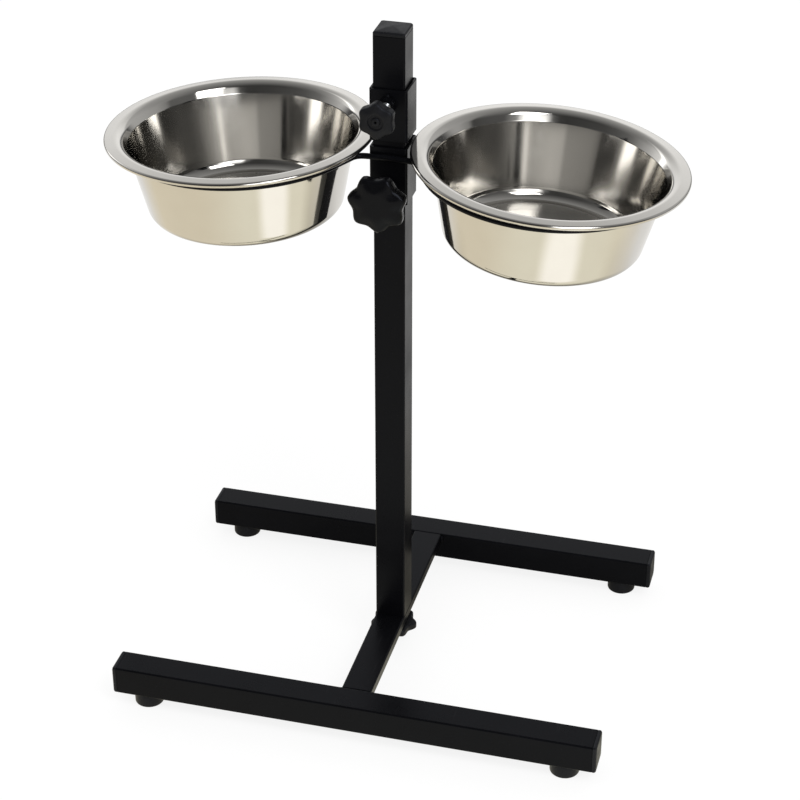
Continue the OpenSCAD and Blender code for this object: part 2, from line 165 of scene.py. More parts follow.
# %% [markdown]
# Polished steel has hardly a colour of its own: it shows the room. So the studio is built for the bowls.
# To the camera the world is plain white. To a mirror it is a room: a pale wall behind the stand with a
# narrow strip of light at its left, a dark side where the photographer stands, and a tall pale panel at
# the right front. They become the bright and dark bands inside the bowls. Every wall starts from a dark
# skirting and fades to a ceiling that darkens to the front, and these shade the sloped shoulders under the
# rims. A world shader can tell the two apart by the kind of ray, and costs nothing to render.

# %% Walls of the room
FRONT_BRIGHT = 0.05
# Brightness of the wall at angles in degrees: 0 is straight behind the stand, 90 is at its right
WALL = (
    (-150, 0.10), (-125, 0.12), (-108, 0.20), (-95, 0.42), (-84, 0.60), (-74, 0.88), (-67, 1.00),
    (-65, 2.20), (-59, 2.20), (-55, 1.20), (-45, 0.92), (-30, 1.00), (-8, 1.15), (12, 1.00), (18, 0.58),
    (68, 0.45), (79, 0.30), (84, 0.07), (116, 0.10), (128, 0.50), (137, 3.60), (157, 4.00), (164, 0.30),
    (172, 0.06),
)

world = bpy.data.worlds.new("studio_room")
bpy.context.scene.world = world
world.use_nodes = True
room = world.node_tree
room.nodes.clear()
look = add(room, "SeparateXYZ", {"Vector": add(room, "TexCoord").outputs["Generated"]}).outputs
turn = add(room, "Math", {0: look["X"], 1: look["Y"]}, operation="ARCTAN2").outputs[0]
share = add(room, "MapRange", {"Value": turn, "From Min": -math.pi, "From Max": math.pi}).outputs[0]
bands = add(room, "ValToRGB", {"Fac": share})
for stop in bands.color_ramp.elements:
    stop.color = (FRONT_BRIGHT, FRONT_BRIGHT, FRONT_BRIGHT, 1)
for angle, bright in WALL:
    stop = bands.color_ramp.elements.new(0.5 + angle / 360)
    stop.color = (bright, bright, bright, 1)
print("stops round the room:", len(bands.color_ramp.elements))

# %% Ceiling and skirting
# Heights are those of a look into the room: 0 is level, 1 is straight up
WALL_TOP, CEILING = math.sin(math.radians(17)), math.sin(math.radians(56))
SKIRTING, SKIRTING_TOP = math.sin(math.radians(3)), math.sin(math.radians(12))
CEILING_BRIGHT, CEILING_FADE = 0.40, 0.6

upward = add(room, "MapRange", {"Value": look["Z"], "From Min": WALL_TOP, "From Max": CEILING},
             interpolation_type="SMOOTHSTEP").outputs[0]
ceiling = add(room, "MapRange", {"Value": look["Y"], "From Min": -CEILING_FADE, "From Max": CEILING_FADE,
                                 "To Min": FRONT_BRIGHT, "To Max": CEILING_BRIGHT}).outputs[0]
walls = add(room, "Mix", {"Factor": upward, "A": bands.outputs["Color"], "B": ceiling},
            data_type="RGBA").outputs["Result"]
off_ground = add(room, "MapRange", {"Value": look["Z"], "From Min": SKIRTING, "From Max": SKIRTING_TOP},
                 interpolation_type="SMOOTHSTEP").outputs[0]
mirrored = add(room, "Mix", {"Factor": off_ground, "A": linear("#4a4a4b"), "B": walls},
               data_type="RGBA").outputs["Result"]
print("ceiling shines", FRONT_BRIGHT, "at the front and", CEILING_BRIGHT, "at the back")

# %% What each kind of ray meets
AMBIENT = 0.80

ray = add(room, "LightPath").outputs
seen = add(room, "Math", {0: ray["Is Camera Ray"], 1: ray["Is Transmission Ray"]},
           operation="MAXIMUM").outputs[0]
lit = add(room, "Background", {"Color": linear("#ffffff"), "Strength": AMBIENT}).outputs[0]
shown = add(room, "Background", {"Color": mirrored, "Strength": 1.0}).outputs[0]
white = add(room, "Background", {"Color": linear("#ffffff"), "Strength": 1.0}).outputs[0]
by_mirror = add(room, "MixShader", {0: ray["Is Glossy Ray"], 1: lit, 2: shown}).outputs[0]
by_eye = add(room, "MixShader", {0: seen, 1: by_mirror, 2: white}).outputs[0]
add(room, "OutputWorld", {"Surface": by_eye})
print("nodes of the room:", len(room.nodes))

# %% [markdown]
# The floor is a sheet of pale paper. It shines almost white to the camera, with just enough plain paper
# in it to take the stand's soft shadow. In the outside of the bowls it shows as warm cream, with light and
# shade painted into its glow: brightest in a painted pool of light where the soft box would shine on it,
# tan far away, a neutral grey behind the stand, and dim in a painted shadow of the stand close behind the
# post. Places and distances on it are in metres.

# %% Floor sheet
FLOOR_HALF = 5.0

floor_mesh = bpy.data.meshes.new("paper_floor")
corners = [(x * FLOOR_HALF, y * FLOOR_HALF, 0) for x, y in ((-1, -1), (1, -1), (1, 1), (-1, 1))]
floor_mesh.from_pydata(corners, [], [(0, 1, 2, 3)])
floor = bpy.data.objects.new("paper_floor", floor_mesh)
bpy.context.scene.collection.objects.link(floor)
floor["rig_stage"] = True
print("floor side in m:", 2 * FLOOR_HALF)

# %% Colour of the mirrored floor
# Painted light: round this place the mirrored floor glows brighter, a pool of light drawn into its colour
PAINTED_POOL_PLACE, PAINTED_POOL_FULL, PAINTED_POOL_EDGE = (0.31, -0.335, 0.0), 0.09, 0.21
CREAM_EDGE, TAN_FROM = 0.25, 0.75
BEHIND_FROM, BEHIND_FULL = 0.05, 0.45

paper = bpy.data.materials.new("matt_paper_white")
paper.use_nodes = True
sheet = paper.node_tree
sheet.nodes.clear()
spot = add(sheet, "TexCoord").outputs["Object"]
away = add(sheet, "VectorMath", {0: spot, 1: PAINTED_POOL_PLACE}, operation="DISTANCE").outputs["Value"]
far = add(sheet, "MapRange", {"Value": away, "From Min": CREAM_EDGE, "From Max": TAN_FROM},
          interpolation_type="SMOOTHSTEP").outputs[0]
# Painted pool of light: 1 within the full radius, fading to 0 at its edge
pool = add(sheet, "MapRange", {"Value": away, "From Min": PAINTED_POOL_EDGE, "From Max": PAINTED_POOL_FULL},
           interpolation_type="SMOOTHSTEP").outputs[0]
rearward = add(sheet, "SeparateXYZ", {"Vector": spot}).outputs["Y"]
back = add(sheet, "MapRange", {"Value": rearward, "From Min": BEHIND_FROM,
                               "From Max": BEHIND_FULL}).outputs[0]
cream = add(sheet, "Mix", {"Factor": far, "A": linear("#fffae6"), "B": linear("#f3e9d2")},
            data_type="RGBA").outputs["Result"]
toned = add(sheet, "Mix", {"Factor": back, "A": cream, "B": linear("#f0efed")},
            data_type="RGBA").outputs["Result"]
painted_pool_colour = add(sheet, "Mix", {"Factor": pool, "A": toned, "B": linear("#fffcf4")},
             data_type="RGBA").outputs["Result"]
print("pool of light on the floor, radius in m:", PAINTED_POOL_EDGE)

# %% Brightness of the mirrored floor
# The painted pool of light glows this much brighter than the cream around it
CREAM_BRIGHT, PAINTED_POOL_BRIGHT = 1.08, 1.50
# Painted shadow: close behind the post the mirrored floor glows dimmer, the stand's own shade drawn into it
PAINTED_SHADE_PLACE, PAINTED_SHADE_EDGE, PAINTED_SHADE_BRIGHT = (0.03, 0.08, 0.0), 0.60, 0.18
PAINTED_SHADE_FROM, PAINTED_SHADE_FULL = -0.05, 0.08

from_post = add(sheet, "VectorMath", {0: spot, 1: PAINTED_SHADE_PLACE}, operation="DISTANCE").outputs["Value"]
# Painted shadow of the stand: dimmest at its place, full glow from this distance on
shade = add(sheet, "MapRange", {"Value": from_post, "From Max": PAINTED_SHADE_EDGE,
                                "To Min": PAINTED_SHADE_BRIGHT}).outputs[0]
# The painted shadow lies only behind the stand; in front the glow stays full
painted_shade_factor = add(sheet, "MapRange", {"Value": rearward, "From Min": PAINTED_SHADE_FROM, "From Max": PAINTED_SHADE_FULL,
                                   "To Min": 1.0, "To Max": shade}).outputs[0]
painted_pool_shine = add(sheet, "MapRange", {"Value": pool, "To Min": CREAM_BRIGHT,
                                     "To Max": PAINTED_POOL_BRIGHT}).outputs[0]
shine = add(sheet, "Math", {0: painted_pool_shine, 1: painted_shade_factor}, operation="MULTIPLY").outputs[0]
warm = add(sheet, "Emission", {"Color": painted_pool_colour, "Strength": shine}).outputs[0]
print("mirrored, the cream shines", CREAM_BRIGHT, "and the pool", PAINTED_POOL_BRIGHT)

# %% Paper
PAPER_GLOW = 0.84

ray = add(sheet, "LightPath").outputs
plain = add(sheet, "BsdfDiffuse", {"Color": linear("#7d7d7d")}).outputs[0]
glow = add(sheet, "Emission", {"Color": linear("#ffffff"), "Strength": PAPER_GLOW}).outputs[0]
bright = add(sheet, "AddShader", {0: glow, 1: plain}).outputs[0]
pale = add(sheet, "BsdfDiffuse", {"Color": linear("#e6e4de")}).outputs[0]
to_eye = add(sheet, "MixShader", {0: ray["Is Camera Ray"], 1: pale, 2: bright}).outputs[0]
to_mirror = add(sheet, "MixShader", {0: ray["Is Glossy Ray"], 1: to_eye, 2: warm}).outputs[0]
add(sheet, "OutputMaterial", {"Surface": to_mirror})
floor_mesh.materials.append(paper)
print("made", paper.name)

# %% [markdown]
# One large soft box lights the stand from the right front, about 47 degrees up. It is the bright patch on
# the shoulder of each bowl. The white room fills the rest.

# %% Soft box
BOX_PLACE, BOX_AIM = Vector((1.37, -1.19, 2.45)), Vector((0, 0, 0.5))
BOX_SIDE, BOX_WATTS = 1.1, 16.0

lamp = bpy.data.lights.new("soft_box", "AREA")
lamp.shape = "SQUARE"
lamp.size = BOX_SIDE
lamp.energy = BOX_WATTS
holder = bpy.data.objects.new("soft_box", lamp)
holder.location = BOX_PLACE
holder.rotation_euler = (BOX_AIM - BOX_PLACE).to_track_quat("-Z", "Y").to_euler()
bpy.context.scene.collection.objects.link(holder)
print("soft box", BOX_SIDE, "m wide,", BOX_WATTS, "W")

# %% [markdown]
# ## Finishes
#
# The tube, the collars, the wire and the welds carry a **satin black powder coat**: dry paint powder that
# is melted on. It flows out unevenly, so it has a fine orange peel that breaks up its reflections, and
# handling leaves faint rubbed streaks. Noise at the size of the peel drives the bump, and wider noise the
# colour and the gloss.

# %% Powder coat
# The floor is cream; this tint keeps what the black parts mirror of it neutral
NEUTRAL_SHINE = "#dde6fa"
# Nearly all values of a noise texture lie between these
NOISE_LOW, NOISE_HIGH = 0.3, 0.7
# Real peel is about 0.8 mm across; it is drawn at twice that so that it shows in a picture of 800 pixels
PEEL, CLOUD, STREAK = 1.6, 35, 1.5
STREAK_TURN, STREAK_STRETCH = (0.4, 0.9, 0.3), (1.0, 0.04, 1.0)


def finish(name):
    """A new material with its node tree, its shader and the piece's own coordinates."""
    material = bpy.data.materials.new(name)
    material.use_nodes = True
    tree = material.node_tree
    return material, tree, tree.nodes["Principled BSDF"], add(tree, "TexCoord").outputs["Object"]


def powder_coated_steel():
    """Black paint with an orange peel, an uneven gloss and faint rubbed streaks."""
    material, tree, shader, place = finish("powder_coated_steel_satin_black")
    peel = add(tree, "TexNoise", {"Vector": place, "Scale": per_metre(PEEL), "Detail": 2.0}).outputs["Fac"]
    cloud = add(tree, "TexNoise", {"Vector": place, "Scale": per_metre(CLOUD),
                                   "Detail": 4.0}).outputs["Fac"]
    streak_place = add(tree, "Mapping", {"Vector": place, "Rotation": STREAK_TURN,
                                         "Scale": STREAK_STRETCH}).outputs[0]
    streak = add(tree, "TexNoise", {"Vector": streak_place, "Scale": per_metre(STREAK),
                                    "Detail": 3.0}).outputs["Fac"]
    rubbed = add(tree, "MapRange", {"Value": streak, "From Min": 0.66, "From Max": 0.78}).outputs[0]
    base = add(tree, "Mix", {"Factor": cloud, "A": linear("#09090b"), "B": linear("#0f0f12")},
               data_type="RGBA").outputs["Result"]
    colour = add(tree, "Mix", {"Factor": rubbed, "A": base, "B": linear("#1d1d1f")},
                 data_type="RGBA").outputs["Result"]
    gloss = add(tree, "MapRange", {"Value": cloud, "From Min": NOISE_LOW, "From Max": NOISE_HIGH,
                                   "To Min": 0.24, "To Max": 0.36}).outputs[0]
    bump = add(tree, "Bump", {"Height": peel, "Strength": 0.25, "Distance": 0.04 * MM}).outputs["Normal"]
    # The peel scatters much of the shine, so straight on it mirrors less than clear paint would
    connect(tree, shader, {"Base Color": colour, "Roughness": gloss, "Normal": bump,
                           "Specular IOR Level": 0.10, "Specular Tint": linear(NEUTRAL_SHINE)})
    return material


black_coat = powder_coated_steel()
print("made", black_coat.name)

# %% [markdown]
# Knobs, caps and feet are **moulded black polypropylene**. The mould is spark eroded, which leaves a fine
# even grain, and the plastic is a shade lighter and duller than the coat. The large lower knob is
# **polyamide** from a polished mould, so it is blacker and shines more.

# %% Moulded plastic
# Spark grain is about 0.2 mm; it is drawn at 0.7 mm so that it shows
GRAIN, FLOW = 0.7, 12
PLASTIC_IOR, PLASTIC_SPREAD = 1.49, 0.15


def moulded_plastic(name, dark, light, dull, shine, grain_depth):
    """Plastic between two blacks; dull is its middle roughness and shine its specular level."""
    material, tree, shader, place = finish(name)
    grain = add(tree, "TexNoise", {"Vector": place, "Scale": per_metre(GRAIN),
                                   "Detail": 2.0}).outputs["Fac"]
    flow = add(tree, "TexNoise", {"Vector": place, "Scale": per_metre(FLOW), "Detail": 3.0,
                                  "Distortion": 0.8}).outputs["Fac"]
    colour = add(tree, "Mix", {"Factor": flow, "A": linear(dark), "B": linear(light)},
                 data_type="RGBA").outputs["Result"]
    gloss = add(tree, "MapRange", {"Value": flow, "From Min": NOISE_LOW, "From Max": NOISE_HIGH,
                                   "To Min": (1 - PLASTIC_SPREAD) * dull,
                                   "To Max": (1 + PLASTIC_SPREAD) * dull}).outputs[0]
    bump = add(tree, "Bump", {"Height": grain, "Strength": grain_depth,
                              "Distance": 0.03 * MM}).outputs["Normal"]
    connect(tree, shader, {"Base Color": colour, "Roughness": gloss, "Normal": bump, "IOR": PLASTIC_IOR,
                           "Specular IOR Level": shine, "Specular Tint": linear(NEUTRAL_SHINE)})
    return material


black_plastic = moulded_plastic("moulded_polypropylene_black", "#131315", "#1c1c1e",
                                dull=0.42, shine=0.20, grain_depth=0.3)
gloss_plastic = moulded_plastic("moulded_polyamide_black_gloss", "#0a0a0c", "#0f0f11",
                                dull=0.24, shine=0.15, grain_depth=0.1)
print("made", black_plastic.name, "and", gloss_plastic.name)

# %% [markdown]
# Studs and the plate in the post are **bright zinc-plated steel**: a cool silver with a soft shine, and a
# faint blue and straw cast where the passivation is thicker.

# %% Zinc plate
CAST = 5


def zinc_plated_steel():
    """Silver metal with a patchy cast of blue and straw."""
    material, tree, shader, place = finish("zinc_plated_steel_bright")
    cast = add(tree, "TexNoise", {"Vector": place, "Scale": per_metre(CAST), "Detail": 3.0}).outputs["Fac"]
    colour = add(tree, "Mix", {"Factor": cast, "A": linear("#a4acb8"), "B": linear("#b8b6ad")},
                 data_type="RGBA").outputs["Result"]
    gloss = add(tree, "MapRange", {"Value": cast, "To Min": 0.18, "To Max": 0.36}).outputs[0]
    connect(tree, shader, {"Base Color": colour, "Roughness": gloss, "Metallic": 1.0})
    return material


zinc = zinc_plated_steel()
print("made", zinc.name)

# %% [markdown]
# The bowls are deep drawn from **stainless steel sheet**. Outside they are buffed to a mirror. Inside they
# are polished on a lathe, so hair-fine lines run round them and smear every highlight upwards along the
# wall. The buffing wheel hardly reaches the floor, which stays satin. One function makes all three: the
# inside gets stronger lines and a duller, one-way gloss.

# %% Stainless steel
# Polishing lines are about 0.1 mm apart; they are drawn at 0.6 mm so that they show
LINES, WAVES, SMUDGES = 0.6, 38, 22
# A whole radian round the bowl counts as this many millimetres, so a line runs far before it fades
RADIAN = 4
STEEL_SPREAD = 0.2
# Fine lines that run round the bowl smear its highlights across them, up the wall
QUARTER_TURN = 0.25


def polished_stainless(name, dull, line_depth, one_way):
    """Turned sheet steel; dull is its middle roughness and one_way how far its lines smear a highlight."""
    material, tree, shader, place = finish(name)
    parts = add(tree, "SeparateXYZ", {"Vector": place}).outputs
    flat = add(tree, "CombineXYZ", {"X": parts["X"], "Y": parts["Y"]}).outputs[0]
    radius = add(tree, "VectorMath", {0: flat}, operation="LENGTH").outputs["Value"]
    angle = add(tree, "Math", {0: parts["Y"], 1: parts["X"]}, operation="ARCTAN2").outputs[0]
    round_slow = add(tree, "Math", {0: angle, 1: RADIAN * MM}, operation="MULTIPLY").outputs[0]
    section = add(tree, "CombineXYZ", {"X": radius, "Y": parts["Z"], "Z": round_slow}).outputs[0]
    lines = add(tree, "TexNoise", {"Vector": section, "Scale": per_metre(LINES),
                                   "Detail": 2.0}).outputs["Fac"]
    # The drawn sheet is never quite even: long shallow waves bend its reflections
    waves = add(tree, "TexNoise", {"Vector": place, "Scale": per_metre(WAVES),
                                   "Detail": 1.0}).outputs["Fac"]
    smudge = add(tree, "TexNoise", {"Vector": place, "Scale": per_metre(SMUDGES),
                                    "Detail": 4.0}).outputs["Fac"]
    colour = add(tree, "Mix", {"Factor": smudge, "A": linear("#cbc8c3"), "B": linear("#d2d0cb")},
                 data_type="RGBA").outputs["Result"]
    gloss = add(tree, "MapRange", {"Value": smudge, "From Min": NOISE_LOW, "From Max": NOISE_HIGH,
                                   "To Min": (1 - STEEL_SPREAD) * dull,
                                   "To Max": (1 + STEEL_SPREAD) * dull}).outputs[0]
    wavy = add(tree, "Bump", {"Height": waves, "Strength": 0.3, "Distance": 0.12 * MM}).outputs["Normal"]
    lined = add(tree, "Bump", {"Height": lines, "Normal": wavy, "Strength": line_depth,
                               "Distance": 0.01 * MM}).outputs["Normal"]
    round_about = add(tree, "Tangent", direction_type="RADIAL", axis="Z").outputs[0]
    connect(tree, shader, {"Base Color": colour, "Metallic": 1.0, "Roughness": gloss, "Normal": lined,
                           "Anisotropic": one_way, "Anisotropic Rotation": QUARTER_TURN,
                           "Tangent": round_about})
    return material


mirror_steel = polished_stainless("stainless_steel_mirror_buffed", dull=0.08, line_depth=0.10, one_way=0.0)
turned_steel = polished_stainless("stainless_steel_lathe_polished", dull=0.11, line_depth=0.25, one_way=0.7)
satin_steel = polished_stainless("stainless_steel_lathe_satin", dull=0.32, line_depth=0.40, one_way=0.6)
print("made", mirror_steel.name, turned_steel.name, satin_steel.name)

# %% [markdown]
# ## Building pieces
#
# Nearly every piece here is a row of closed outlines with a skin stretched between them: a tube is a
# rounded square that is swept along, a foot is a circle that swells and shrinks, a knob is a star. So one
# function makes a mesh from rows of outlines. Points that fall together, as at a pole, are merged, faces
# are smooth, and edges sharper than a limit stay crisp. The Weighted Normal modifier keeps flat faces
# flat right up to their small round edges.

# %% Skins
MERGE_WITHIN = 1e-6


def build(name, shells, material, sharp=38):
    """A mesh object of shells: each is a list of equally long outlines, and whether it closes on itself."""
    points, faces = [], []
    for outlines, closes in shells:
        count, start = len(outlines[0]), len(points)
        points += [Vector(p) * MM for outline in outlines for p in outline]
        for i in range(len(outlines) if closes else len(outlines) - 1):
            a = start + i * count
            b = start + (i + 1) % len(outlines) * count
            faces += [(a + j, a + (j + 1) % count, b + (j + 1) % count, b + j) for j in range(count)]
        if not closes:
            faces.append(tuple(range(start + count - 1, start - 1, -1)))
            faces.append(tuple(range(len(points) - count, len(points))))
    mesh = bpy.data.meshes.new(name)
    mesh.from_pydata(points, [], faces)
    shape = bmesh.new()
    shape.from_mesh(mesh)
    bmesh.ops.remove_doubles(shape, verts=shape.verts, dist=MERGE_WITHIN)
    bmesh.ops.recalc_face_normals(shape, faces=shape.faces)
    shape.to_mesh(mesh)
    shape.free()
    mesh.shade_smooth()
    mesh.set_sharp_from_angle(angle=math.radians(sharp))
    mesh.materials.append(material)
    piece = bpy.data.objects.new(name, mesh)
    bpy.context.scene.collection.objects.link(piece)
    even = piece.modifiers.new("even_normals", "WEIGHTED_NORMAL")
    even.keep_sharp = True
    return piece


def stand_for(piece, *nodes, at=Matrix.Identity(4)):
    """Put a piece in place on the body of its nodes, let it stand for them, and print how well it fits."""
    piece.matrix_world = at
    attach(piece, frame["nodes"][nodes[0]]["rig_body"])
    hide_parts(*nodes)
    low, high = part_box(nodes[0])
    spread = list(zip(*(at @ vertex.co for vertex in piece.data.vertices)))
    off = [max(low[i] - min(spread[i]), max(spread[i]) - high[i]) for i in range(3)]
    print(piece.name, len(piece.data.polygons), "faces, furthest outside its node in mm:",
          [round(v / MM, 2) for v in off])


# %% [markdown]
# Square steel tube is rolled from strip, so its long edges are round. It is sawn off, and the saw cut is
# deburred. The bars, the flat tube between them, the post and the two collars are all this shape, each
# with the length, the sides and the place of its node, an open inside and a fine bevel at the cut.

# %% Tubes
X, Y, Z = range(3)
TUBE_WALL, TUBE_CORNER = 1.5, 1.6
COLLAR_WALL, COLLAR_CORNER = 2.0, 2.2
CORNER_STEPS = 6
CUT_BEVEL = 0.35
LEAST_CORNER = 0.3


def rounded_rectangle(half_a, half_b, corner):
    """Outline of a rectangle with round corners, as pairs."""
    outline = []
    for quarter, (a, b) in enumerate(((1, 1), (-1, 1), (-1, -1), (1, -1))):
        for i in range(CORNER_STEPS + 1):
            angle = math.radians(90 * (quarter + i / CORNER_STEPS))
            outline.append((a * (half_a - corner) + corner * math.cos(angle),
                            b * (half_b - corner) + corner * math.sin(angle)))
    return outline


def node_box(node):
    """Lowest and highest corner of a node in millimetres."""
    return [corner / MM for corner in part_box(node)]


def tube(name, node, along, wall, corner):
    """Open tube over a node's box; along is the axis that it runs along."""
    low, high = node_box(node)
    middle, half = (low + high) / 2, (high - low) / 2
    side_a, side_b = (along + 1) % 3, (along + 2) % 3
    stations = ((low, CUT_BEVEL, 0), (low, 0, CUT_BEVEL), (high, 0, -CUT_BEVEL), (high, CUT_BEVEL, 0),
                (high, wall - CUT_BEVEL, 0), (high, wall, -CUT_BEVEL),
                (low, wall, CUT_BEVEL), (low, wall - CUT_BEVEL, 0))
    outlines = []
    for end, inset, shift in stations:
        outline = []
        bend = max(corner - inset, LEAST_CORNER)
        for a, b in rounded_rectangle(half[side_a] - inset, half[side_b] - inset, bend):
            point = middle.copy()
            point[along] = end[along] + shift
            point[side_a] += a
            point[side_b] += b
            outline.append(point)
        outlines.append(outline)
    stand_for(build(name, [(outlines, True)], black_coat), node)


tube("front_bar_tube", "front_bar", X, TUBE_WALL, TUBE_CORNER)
tube("back_bar_tube", "back_bar", X, TUBE_WALL, TUBE_CORNER)
tube("cross_bar_tube", "cross_bar", Y, TUBE_WALL, TUBE_CORNER)
tube("post_square_tube", "post_tube", Z, TUBE_WALL, TUBE_CORNER)
tube("lower_collar_sleeve", "lower_collar", Z, COLLAR_WALL, COLLAR_CORNER)
tube("upper_collar_sleeve", "upper_collar", Z, COLLAR_WALL, COLLAR_CORNER)

# %% [markdown]
# A moulded cap closes each open tube end. Its plug grips the inside of the tube, its flange is flush with
# the outside, and its top is a low pyramid with a bevelled edge. A narrow groove shows where the cap
# meets the tube. One outline is scaled along the cap's axis, and the cap is then turned to its tube.

# %% End caps
SIGN = {"left": -1, "right": 1}
CAP_HALF = (node_box("post_tube")[1].x - node_box("post_tube")[0].x) / 2
CAP_PLUG = 12.0
CAP_PLUG_INSET, CAP_FLUSH = 1.54, 0.02
CAP_CORNER_SHARE, CAP_LEAST_CORNER = 0.6, 0.05
# Height along the cap's axis, and how far the outline there lies inside the tube's own
CAP_STATIONS = (
    (-CAP_PLUG, 3.2), (1.2 - CAP_PLUG, CAP_PLUG_INSET), (0.0, CAP_PLUG_INSET), (0.0, 0.30),
    (0.30, CAP_FLUSH), (2.25, CAP_FLUSH), (2.6, 0.14), (3.35, 0.72), (3.6, 1.10), (4.0, 4.2), (4.55, 8.0),
    (4.9, CAP_HALF - 1.3), (5.0, CAP_HALF - 0.3),
)


def cap(name, node, turn, place):
    """A cap that is turned to its tube and put in its end."""
    outlines = []
    for height, inset in CAP_STATIONS:
        half = CAP_HALF - inset
        corner = max(min(TUBE_CORNER, half * CAP_CORNER_SHARE), CAP_LEAST_CORNER)
        outlines.append([(a, b, height) for a, b in rounded_rectangle(half, half, corner)])
    piece = build(name, [(outlines, False)], black_plastic, sharp=50)
    stand_for(piece, node, at=Matrix.Translation(place) @ turn)


def middle_of(node):
    """Middle of a node's box, in metres."""
    low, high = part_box(node)
    return (low + high) / 2


for row in ("front", "back"):
    for hand, sign in SIGN.items():
        low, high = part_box(f"{row}_bar")
        place = (low + high) / 2
        place.x = low.x if sign < 0 else high.x
        sideways = Matrix.Rotation(sign * math.pi / 2, 4, "Y")
        cap(f"{row}_{hand}_end_cap", f"{row}_{hand}_bar_cap", sideways, place)
post_end = middle_of("post_tube")
post_end.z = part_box("post_tube")[1].z
cap("post_end_cap", "post_cap", Matrix.Identity(4), post_end)

# %% [markdown]
# The feet are round moulded glides: a drum with a soft lower edge and a stem that is pushed through a
# hole in the bar. A turned outline is all they need, with a shallow dish underneath so that they stand on
# a ring.

# %% Feet
TURNED_STEPS = 64


def circle(radius, height, steps=TURNED_STEPS):
    """Outline of a circle round the z axis."""
    angles = [2 * math.pi * i / steps for i in range(steps)]
    return [(radius * math.cos(a), radius * math.sin(a), height) for a in angles]


def arc(centre, radius, start, end, steps):
    """Points on an arc between two angles in degrees, as pairs."""
    angles = [math.radians(start + (end - start) * i / steps) for i in range(steps + 1)]
    return [(centre[0] + radius * math.cos(a), centre[1] + radius * math.sin(a)) for a in angles]


FOOT_R, FOOT_HEIGHT, FOOT_TAPER, FOOT_GAP = 13.0, 12.0, 0.8, 0.05
LOWER_EDGE, LOWER_STEPS = 1.5, 6
UPPER_EDGE, UPPER_STEPS = 0.6, 4
DISH_R, DISH_RIM_R, DISH_DEPTH = 8.0, 8.8, 0.7
STEM_R, STEM_TOP, STEM_CHAMFER = 3.96, 19.5, 0.8
drum_top = FOOT_HEIGHT - FOOT_GAP
upper_middle = (FOOT_R - FOOT_TAPER - UPPER_EDGE, drum_top - UPPER_EDGE)
foot_outline = (
    [(0, DISH_DEPTH), (DISH_R, DISH_DEPTH), (DISH_RIM_R, 0)]
    + arc((FOOT_R - LOWER_EDGE, LOWER_EDGE), LOWER_EDGE, -90, 0, LOWER_STEPS)
    + [(FOOT_R, FOOT_HEIGHT / 2)]
    + arc(upper_middle, UPPER_EDGE, 0, 90, UPPER_STEPS)
    + [(STEM_R, drum_top), (STEM_R, STEM_TOP - STEM_CHAMFER), (STEM_R - STEM_CHAMFER, STEM_TOP)]
    + [(0, STEM_TOP)]
)
for row in ("front", "back"):
    for hand in SIGN:
        node = f"{row}_{hand}_foot"
        place = middle_of(node)
        place.z = 0
        outlines = [circle(r, z) for r, z in foot_outline]
        piece = build(f"{row}_{hand}_glide", [(outlines, False)], black_plastic)
        stand_for(piece, node, at=Matrix.Translation(place))

# %% [markdown]
# Welds hold the steel together: upright beads between the flat tube and the bars, drops above and below
# the weld nuts, and fillets under the wire. A weld bead freezes in small overlapping ripples, so each is a
# thin tube along its joint whose radius swells and shrinks, and a drop is a lumpy half ball. They were
# coated with the steel.

# %% Welds
RIPPLE_PITCH, RIPPLE_DEPTH = 1.5, 0.10
LEAST_BEAD_R = 0.001


def bead(start, end, radius, steps=40, sides=16):
    """Outlines of a rippled bead with round ends from start to end."""
    start, end = Vector(start), Vector(end)
    along = (end - start).normalized()
    side = along.orthogonal().normalized()
    other = along.cross(side)
    length = (end - start).length
    outlines = []
    for i in range(steps + 1):
        way = length * i / steps
        from_end = min(way, length - way)
        full = math.sqrt(max(0.0, 1 - max(0.0, 1 - from_end / radius) ** 2))
        ripple = 1 - RIPPLE_DEPTH * (0.5 + 0.5 * math.cos(2 * math.pi * way / RIPPLE_PITCH))
        r = max(radius * full * ripple, LEAST_BEAD_R)
        outlines.append([start + along * way + r * (math.cos(a) * side + math.sin(a) * other)
                         for a in (2 * math.pi * j / sides for j in range(sides))])
    return outlines, False


BEAD_R, BEAD_IN = 1.7, 0.7
cross_low, cross_high = node_box("cross_bar")
weld_low, weld_high = node_box("base_welds")
corner_beads = []
for x, sign_x in ((cross_low.x, -1), (cross_high.x, 1)):
    for y, sign_y in ((cross_low.y, 1), (cross_high.y, -1)):
        spot = (x + sign_x * BEAD_IN, y + sign_y * BEAD_IN)
        corner_beads.append(bead((*spot, weld_low.z), (*spot, weld_high.z), BEAD_R))
stand_for(build("base_weld_beads", corner_beads, black_coat), "base_welds")

# %% [markdown]
# A weld nut sits on the front of each collar: a hexagon with its corners turned down to a chamfer at the
# outer face, and a bore for the stud. It is held by a drop of weld above and one below.

# %% Weld nuts and their drops
NUT_FLATS, NUT_HEIGHT, NUT_CHAMFER = 13.0, 6.5, 0.9
BORE_R, BORE_CHAMFER = 4.05, 0.5
NUT_STEPS = 72
TACK_R = 2.2
DROP_R, DROP_HEIGHT, DROP_LUMPS = TACK_R * 0.92, TACK_R * 1.15, 0.08
DROP_OUT = (NUT_FLATS + TACK_R / 2) / 2
FRONTWARDS = Matrix.Rotation(math.pi / 2, 4, "X")


def hexagon(limit, height):
    """Outline of a hexagon with upright flats, cut off by a circle of radius limit."""
    outline = []
    for i in range(NUT_STEPS):
        angle = 2 * math.pi * i / NUT_STEPS
        to_flat = (angle + math.pi / 6) % (math.pi / 3) - math.pi / 6
        r = min(NUT_FLATS / 2 / math.cos(to_flat), limit)
        outline.append((r * math.cos(angle), r * math.sin(angle), height))
    return outline


